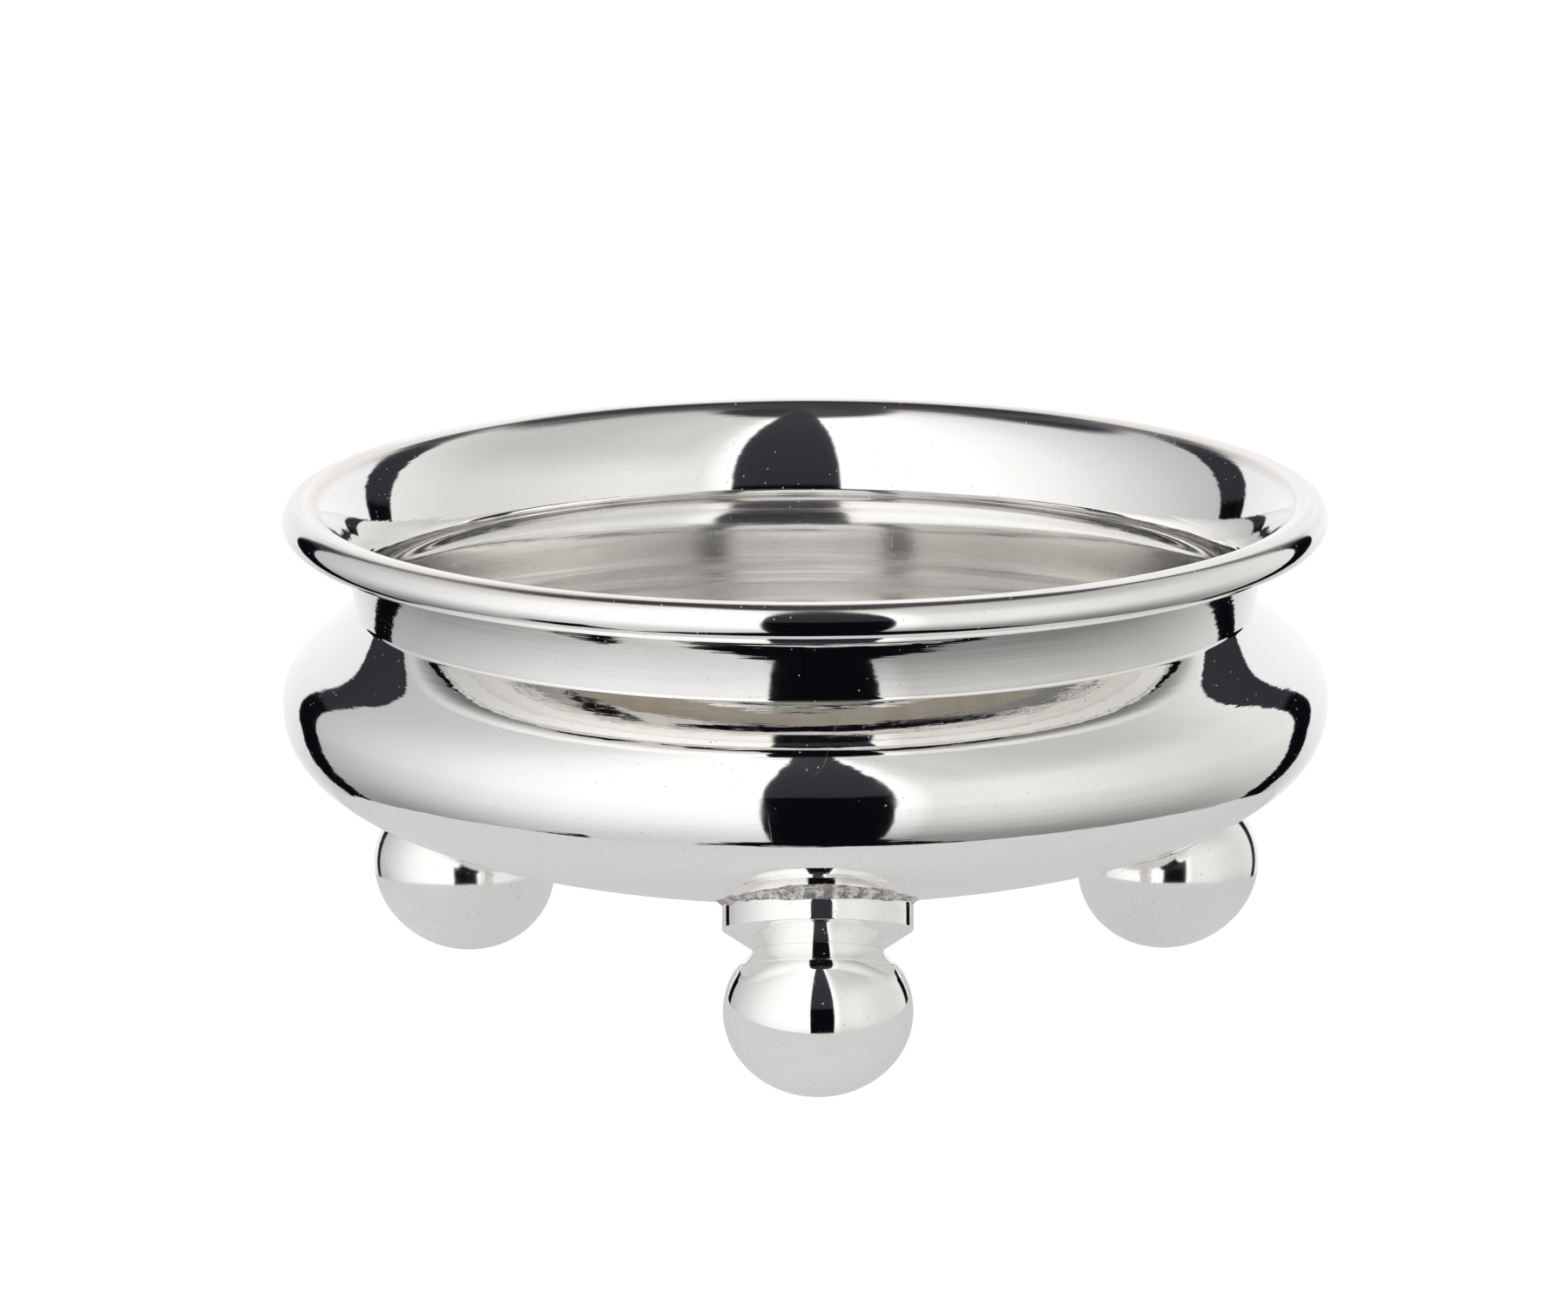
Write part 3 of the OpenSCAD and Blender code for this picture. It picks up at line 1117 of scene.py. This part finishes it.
@dataclass(frozen=True)
class SolderFinish(Metal):
    """Solder left as it ran: grey, dull and finely pitted."""

    name: str = "dull solder"
    bright: Colour = (0.80, 0.785, 0.765)
    grey: Colour = (0.34, 0.32, 0.31)
    lumps: Grain = (1.1, 3.0, 0.6)
    grains: Grain = (5.0, 3.0, 0.6)
    pits: Grain = (2.6, 0.17, 0.6)
    # Weights of the lumps and the grains, the shades between which the grey comes up, and how grey a pit is
    mixed: Point = (0.7, 0.3)
    shades: Point = (0.42, 0.6)
    pit_grey: float = 0.6
    # Roughness of the ground, the grey and the grains
    roughs: Grain = (0.22, 0.14, 0.14)
    # Depth of the relief, and the weights of lumps, grains and pits
    relief: float = 0.07
    swells: Grain = (0.9, 0.25, -0.6)

    def make(self) -> bpy.types.Material:
        """The material."""
        material, w, shader = self.blank()
        place = w.place()
        lump = w.cloud(place, *self.lumps)
        grain = w.cloud(place, *self.grains)
        pit = w.specks(place, *self.pits)
        skin = w.step(w.total((lump, grain), self.mixed), *self.shades)
        dull = w.total((skin, pit), (1.0, self.pit_grey), clamp=True)
        w.join(w.mix(dull, (*self.bright, 1.0), (*self.grey, 1.0)), shader.inputs["Base Color"])
        w.join(w.total((1.0, dull, grain), self.roughs), shader.inputs["Roughness"])
        w.join(w.relief(w.total((lump, grain, pit), self.swells), self.relief), shader.inputs["Normal"])
        return material


@dataclass
class Studio:
    """A tent of white cloth round a small round stand, open towards the camera, overhead and at two slits.

    Azimuths are in degrees from the camera's side, positive to the right, and elevations are above the horizon. An
    edge is half the width of a soft step. What lies overhead is given on a level sheet one unit above the object.
    """

    front_slit: Point = (-9.6, 19.4)
    right_slit: Point = (133.9, 145.8)
    left_slit: Point = (-146.6, -134.6)
    slit_edges: Point = (0.35, 0.35)
    # The elevation below which the front slit spreads, and how far each of its sides moves for a degree of it
    shade_top: float = -45.5
    shade_rates: Point = (-3.2, 5.0)
    shade_edge: float = 0.4
    # A dark patch low on the left, which ends at the same softness as the spreading slit
    spot: Point = (-86.0, -62.0)
    spot_top: float = -46.5
    top_edge: float = 0.5
    # Elevations over which the cloth loses light towards the stand
    low: Point = (-2.0, -52.0)
    # The side on the right where the cloth loses light high up, over which elevations, and how much
    high_side: Point = (30.5, 135.0)
    high_edges: Point = (9.5, 15.0)
    high: Point = (22.0, 52.0)
    high_loss: float = 0.24
    # The round opening overhead, and how much wider than deep it is
    roof_centre: Point = (-0.05, 0.4)
    roof_reach: float = 0.36
    roof_width: float = 1.75
    roof_edge: float = 0.04
    roof_least: float = 0.02
    # A dark flap of cloth in front of that opening: its sides, its end at the back and the elevations where it starts
    flap: Point = (-0.2, 0.2)
    flap_edges: Point = (0.03, 0.03)
    flap_back: Point = (0.3, 0.1)
    flap_rise: Point = (77.0, 81.0)
    flap_shade: float = 0.93

    stand_radius: float = 54.5
    stand_sides: int = 160
    floor_reach: float = 6000.0
    white: float = 1.0
    # The paper's own colour, the tint of its glow, and how strongly the camera and the silver see that glow
    paper_grey: Colour = (0.44, 0.435, 0.445)
    paper_glow: Colour = (1.0, 0.995, 1.0)
    seen_glow: float = 0.84
    mirrored_glow: float = 0.4

    def cloth(self, w: Wiring, azimuth: bpy.types.NodeSocket, elevation: bpy.types.NodeSocket) -> bpy.types.NodeSocket:
        """The colour of the lit cloth in every direction."""
        turn = w.maths("DIVIDE", w.maths("ADD", azimuth, 180.0), 360.0)
        tints = [((side + 180.0) / 360.0, tuple(channel * value for channel in tint)) for side, tint, value in CLOTH]
        loss = w.ramp(turn, [((side + 180.0) / 360.0, share) for side, share in LOSS])
        high = w.times(w.step(elevation, *self.high), w.window(azimuth, self.high_side, self.high_edges))
        lit = w.mix(1.0, w.ramp(turn, tints), w.rest(w.times(high, self.high_loss)), "MULTIPLY")
        return w.mix(1.0, lit, w.rest(w.times(loss, w.step(elevation, *self.low))), "MULTIPLY")

    def spread(self, w: Wiring, azimuth: bpy.types.NodeSocket, elevation: bpy.types.NodeSocket) -> bpy.types.NodeSocket:
        """1 in the front slit's foot, which spreads to both sides the lower it is."""
        drop = w.maths("MAXIMUM", w.maths("SUBTRACT", self.shade_top, elevation), 0.0)
        result = w.step(elevation, self.shade_top + self.top_edge, self.shade_top - self.top_edge)
        for end, rate, edge in zip(self.front_slit, self.shade_rates, (self.shade_edge, -self.shade_edge)):
            side = w.maths("ADD", end, w.times(drop, rate))
            result = w.times(result, w.step(w.maths("SUBTRACT", azimuth, side), -edge, edge))
        return result

    def tent(self) -> bpy.types.World:
        """The tent as the world's light."""
        world = bpy.data.worlds.new("tent")
        bpy.context.scene.world = world
        world.use_nodes = True
        w = Wiring(world.node_tree)
        w.tree.nodes.clear()
        x, y, z = w.split(w.add("ShaderNodeTexCoord").outputs["Generated"])
        azimuth = w.maths("DEGREES", w.maths("ARCTAN2", x, w.times(y, -1.0)))
        elevation = w.maths("DEGREES", w.maths("ARCSINE", z))
        over_x, over_y = w.maths("DIVIDE", x, z), w.maths("DIVIDE", y, z)

        roof_x = w.maths("DIVIDE", w.maths("SUBTRACT", over_x, self.roof_centre[0]), self.roof_width)
        roof_y = w.maths("SUBTRACT", over_y, self.roof_centre[1])
        away = w.maths("SQRT", w.squares(roof_x, roof_y))
        roof = w.step(away, self.roof_reach + self.roof_edge, self.roof_reach - self.roof_edge)
        dark = w.times(roof, w.maths("GREATER_THAN", z, self.roof_least))
        spot = w.times(
            w.window(azimuth, self.spot, self.slit_edges),
            w.step(elevation, self.spot_top + self.top_edge, self.spot_top - self.top_edge),
        )
        openings = [self.spread(w, azimuth, elevation), spot]
        for ends in (self.front_slit, self.right_slit, self.left_slit):
            openings.append(w.window(azimuth, ends, self.slit_edges))
        for opening in openings:
            dark = w.maths("MAXIMUM", dark, opening)

        flap = w.times(w.step(over_y, *self.flap_back), w.step(elevation, *self.flap_rise))
        flap = w.times(flap, w.window(over_x, self.flap, self.flap_edges))
        lit = w.mix(1.0, self.cloth(w, azimuth, elevation), w.rest(w.times(flap, self.flap_shade)), "MULTIPLY")
        gloom = w.ramp(w.maths("DIVIDE", w.maths("ADD", elevation, 90.0), 180.0), GLOOM)
        light = w.add("ShaderNodeBackground")
        w.join(w.mix(dark, lit, gloom), light.inputs[0])
        backdrop = w.add("ShaderNodeBackground")
        backdrop.inputs[1].default_value = self.white
        choose = w.add("ShaderNodeMixShader")
        w.join(w.add("ShaderNodeLightPath").outputs["Is Camera Ray"], choose.inputs[0])
        w.join(light.outputs[0], choose.inputs[1])
        w.join(backdrop.outputs[0], choose.inputs[2])
        w.join(choose.outputs[0], w.add("ShaderNodeOutputWorld").inputs[0])
        return world

    def paper(self) -> bpy.types.Material:
        """The white surface under the cellar, which keeps a soft shadow and shows pale grey in the silver."""
        material = bpy.data.materials.new("stand paper")
        material.use_nodes = True
        w = Wiring(material.node_tree)
        w.tree.nodes.clear()
        matt = w.add("ShaderNodeBsdfDiffuse")
        matt.inputs[0].default_value = (*self.paper_grey, 1.0)
        rays = w.add("ShaderNodeLightPath").outputs
        glow = w.add("ShaderNodeEmission")
        glow.inputs[0].default_value = (*self.paper_glow, 1.0)
        strength = w.total(
            (rays["Is Camera Ray"], rays["Is Glossy Ray"]), (self.seen_glow, self.mirrored_glow)
        )
        w.join(strength, glow.inputs[1])
        both = w.add("ShaderNodeAddShader")
        w.join(matt.outputs[0], both.inputs[0])
        w.join(glow.outputs[0], both.inputs[1])
        w.join(both.outputs[0], w.add("ShaderNodeOutputMaterial").inputs[0])
        return material

    def ground(self) -> None:
        """The stand's round top, and the floor round it, which the silver doesn't show."""
        paper = self.paper()
        top = bmesh.new()
        bmesh.ops.create_circle(top, cap_ends=True, segments=self.stand_sides, radius=self.stand_radius * MM)
        ring = bmesh.new()
        bmesh.ops.create_circle(ring, cap_ends=False, segments=self.stand_sides, radius=self.stand_radius * MM)
        outer = bmesh.ops.extrude_edge_only(ring, edges=ring.edges[:])
        moved = [part for part in outer["geom"] if isinstance(part, bmesh.types.BMVert)]
        reach = self.floor_reach / self.stand_radius
        bmesh.ops.scale(ring, vec=(reach, reach, 1.0), verts=moved)
        for name, bm in (("stand_top", top), ("floor", ring)):
            mesh = bpy.data.meshes.new(name)
            bm.to_mesh(mesh)
            bm.free()
            mesh.materials.append(paper)
            obj = bpy.data.objects.new(name, mesh)
            bpy.context.scene.collection.objects.link(obj)
            obj.visible_glossy = name == "stand_top"


@dataclass
class Viewpoint:
    """The camera, at the photograph's angle and framing.

    Angles are in degrees but for the roll, which is in radians, and clip is the range of distances seen, in metres.
    """

    elevation: float = 12.356
    roll: float = -0.0026
    distance: float = 1000.0
    aim: tuple[float, float, float] = (-1.624, 0.0, 26.94)
    lens: float = 300.0
    sensor: float = 36.0
    clip: Point = (0.05, 20.0)

    def build(self) -> bpy.types.Object:
        """Makes the scene's camera."""
        e = math.radians(self.elevation)
        back = Vector((0.0, -math.cos(e), math.sin(e)))
        data = bpy.data.cameras.new("camera")
        data.lens = self.lens
        data.sensor_width = self.sensor
        data.clip_start, data.clip_end = self.clip
        camera = bpy.data.objects.new("camera", data)
        bpy.context.scene.collection.objects.link(camera)
        turn = (-back).to_track_quat("-Z", "Y").to_matrix().to_4x4()
        place = Matrix.Translation((Vector(self.aim) + back * self.distance) * MM)
        camera.matrix_world = place @ turn @ Matrix.Rotation(self.roll, 4, "Z")
        bpy.context.scene.camera = camera
        return camera


def main() -> None:
    """Builds the cellar, the studio and the camera in order."""
    Viewpoint().build()
    studio = Studio()
    studio.tent()
    studio.ground()
    bpy.context.scene.view_settings.view_transform = "Standard"
    outside, inside, gap = OutsideFinish().make(), InsideFinish().make(), GapFinish().make()
    turned, dull = TurnedFinish().make(), SolderFinish().make()
    worn = TurnedFinish("worn ball", polish=0.1).make()
    bowl = Bowl()
    bowl.build(outside, inside, gap)
    for side in Side:
        foot = Foot(bowl, side)
        foot.ball(turned if side is Side.FRONT else worn)
        foot.collar(turned)
        foot.cap(turned)
        foot.solder(dull)


if __name__ == "__main__":
    logging.basicConfig(level=logging.INFO, format="%(name)s: %(message)s")
    main()
